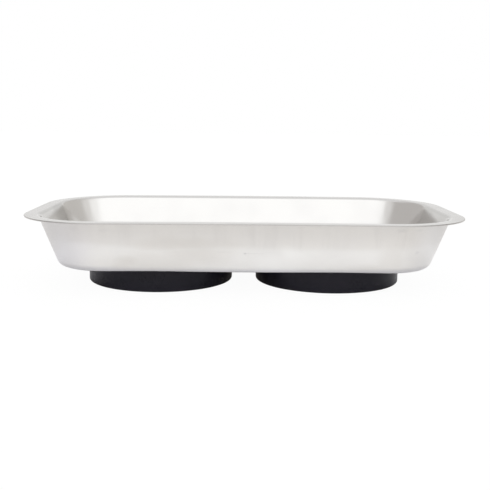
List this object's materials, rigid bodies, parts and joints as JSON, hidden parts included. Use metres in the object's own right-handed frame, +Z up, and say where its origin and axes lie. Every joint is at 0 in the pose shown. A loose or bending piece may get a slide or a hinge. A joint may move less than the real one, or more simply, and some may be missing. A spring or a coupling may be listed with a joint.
{
  "type": "magnetic parts tray",
  "caption": "Shallow pressed-steel tray with sloping walls and a flat lip, standing on ring magnets in round rubber boots that hold it to steel and hold small parts in it",
  "frame": {"origin": "Centre of the footprint, on the surface that the boots stand on, midway between the two magnets", "axes": "+X along the tray's length, to the right as pictured; +Y across it, to the back; +Z up, out of the open top"},
  "size_m": [0.24, 0.14, 0.0415],
  "materials": {
    "satin_stainless": "satin",
    "black_rubber": "matte",
    "black_ferrite": "matte",
    "zinc_plated_steel": "satin"
  },
  "bodies": {
    "root": {"tray_pan": "satin_stainless", "left_rubber_boot": "black_rubber", "right_rubber_boot": "black_rubber", "left_ring_magnet": "black_ferrite", "right_ring_magnet": "black_ferrite", "left_clamp_dish": "zinc_plated_steel", "right_clamp_dish": "zinc_plated_steel", "left_weld_stud": "zinc_plated_steel", "right_weld_stud": "zinc_plated_steel", "left_lock_washer": "zinc_plated_steel", "right_lock_washer": "zinc_plated_steel", "left_hex_nut": "zinc_plated_steel", "right_hex_nut": "zinc_plated_steel"}
  },
  "joints": []
}
